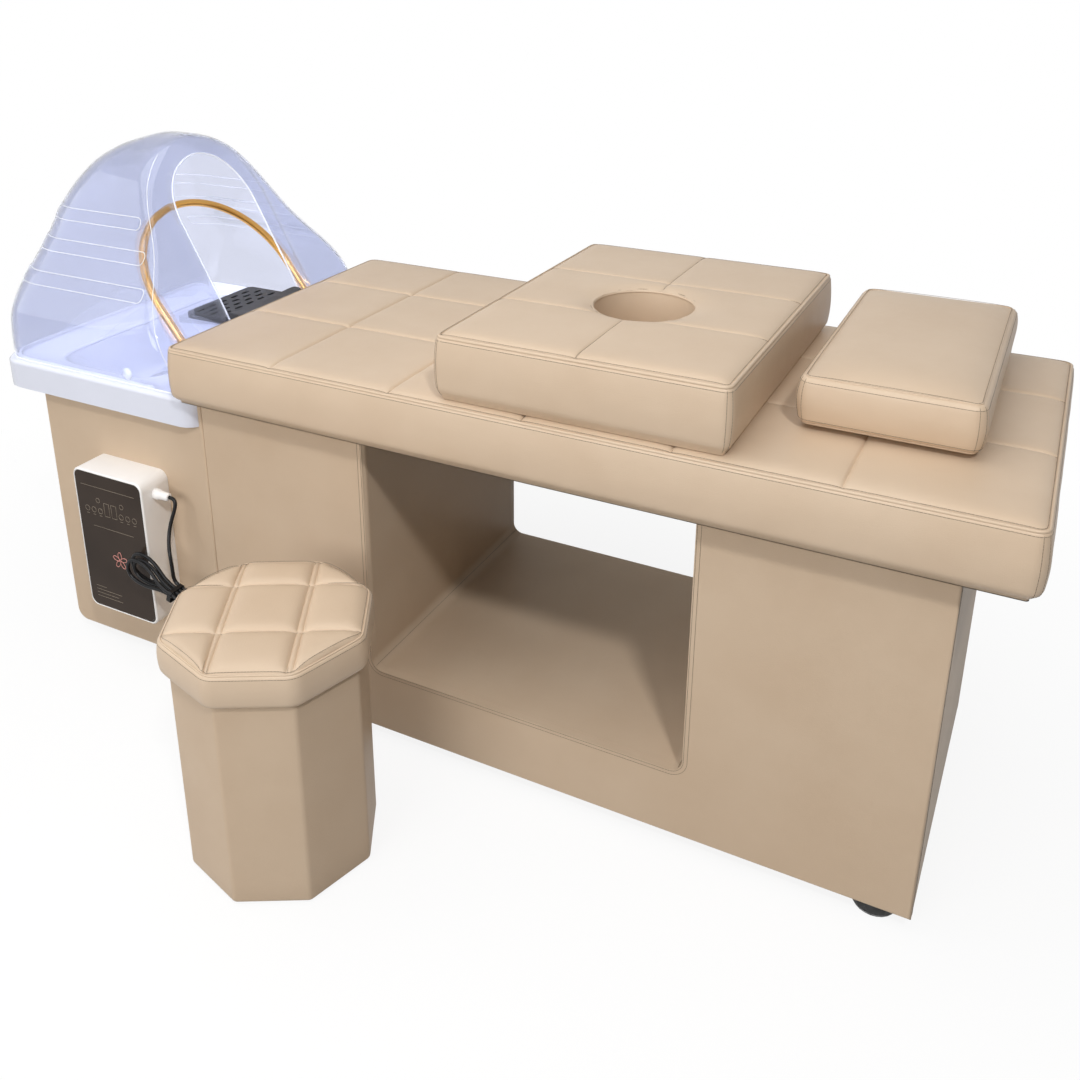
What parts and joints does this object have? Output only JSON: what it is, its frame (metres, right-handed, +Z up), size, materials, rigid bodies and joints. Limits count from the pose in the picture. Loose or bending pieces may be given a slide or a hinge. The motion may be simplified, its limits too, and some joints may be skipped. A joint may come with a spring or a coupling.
{
  "type": "hair washing bed",
  "caption": "Salon hair washing bed: quilted leather mattress over a knee tunnel, basin cabinet with lift-off clear hood, swinging spray arch, side water heater and octagonal stool.",
  "frame": {"origin": "floor point under the middle of the whole set, stool included", "axes": "+X from the basin at the head end to the foot end of the bed, +Y away from the heater and stool side, +Z up"},
  "size_m": [2.067, 1.1244, 1.1203],
  "materials": {
    "leather": "satin, soft grain, beige",
    "board": "bare plywood",
    "foot_black": "matte",
    "foot_grey": "matte",
    "basin_white": "gloss",
    "hood_clear": "clear, pale blue, polished",
    "golden_tube": "polished, golden",
    "rest_grey": "soft matte",
    "steel": "polished",
    "pipe_white": "matte",
    "hose_grey": "matte",
    "heater_white": "satin gloss",
    "heater_glass": "black, gloss",
    "fitting_brass": "satin",
    "circuit": "matte",
    "cord_black": "satin"
  },
  "bodies": {
    "bed": {"mattress_pad": "leather", "mattress_board": "board", "front_panel": "leather", "rear_panel": "leather", "tunnel_lining": "leather", "foot_end_panel": "leather", "base_head_board": "board", "base_bottom": "board", "corner_battens": "board", "feet": "foot_black", "foot_rims": "foot_grey", "cabinet_front": "leather", "cabinet_rear": "leather", "cabinet_wrap": "leather", "basin": "basin_white", "basin_bowl": "basin_white", "drain_flange": "steel", "drain_nut": "pipe_white", "waste_trap": "pipe_white", "waste_pipe": "pipe_white", "water_inlet": "fitting_brass", "feed_hose": "hose_grey", "spray_hose": "hose_grey", "arch_sockets": "basin_white", "socket_nuts": "fitting_brass", "headrest_cradle": "basin_white", "heater_body": "heater_white", "heater_glass": "heater_glass", "heater_wall_plate": "steel", "heater_shanks": "fitting_brass", "heating_tank": "steel", "control_board": "circuit", "heater_outlet": "fitting_brass", "heater_gland": "heater_white", "cord_drop": "cord_black", "cord_hank": "cord_black", "hank_tie": "cord_black", "cord_tail": "cord_black", "plug_body": "cord_black", "plug_pins": "fitting_brass"},
    "lift_hood": {"hood": "hood_clear"},
    "swing_arch": {"spray_arch": "golden_tube"},
    "neck_rest": {"headrest_pad": "rest_grey"},
    "strainer": {"drain_strainer": "steel"},
    "loose_cushion": {"face_cushion": "leather"},
    "loose_pillow": {"pillow": "leather"},
    "loose_stool": {"stool_body": "leather", "stool_seat_board": "board", "stool_seat": "leather", "stool_glides": "foot_black"}
  },
  "joints": [
    {"name": "hood_lift", "type": "slide", "parent": "bed", "child": "lift_hood", "axis": [0, 0, 1], "range_m": [0, 0.35]},
    {"name": "arch_swing", "type": "hinge", "parent": "bed", "child": "swing_arch", "pos_m": [-0.5785, 0.20727, 0.7], "axis": [0, -1, 0], "range_deg": [-5, 35]},
    {"name": "headrest_lift", "type": "slide", "parent": "bed", "child": "neck_rest", "axis": [0, 0, 1], "range_m": [0, 0.05]},
    {"name": "strainer_lift", "type": "slide", "parent": "bed", "child": "strainer", "axis": [0, 0, 1], "range_m": [0, 0.06]},
    {"name": "cushion_lift", "type": "slide", "parent": "bed", "child": "loose_cushion", "axis": [0, 0, 1], "range_m": [0, 0.3]},
    {"name": "pillow_lift", "type": "slide", "parent": "bed", "child": "loose_pillow", "axis": [0, 0, 1], "range_m": [0, 0.3]},
    {"name": "stool_slide", "type": "slide", "parent": "bed", "child": "loose_stool", "axis": [0, -1, 0], "range_m": [0, 0.4]}
  ]
}
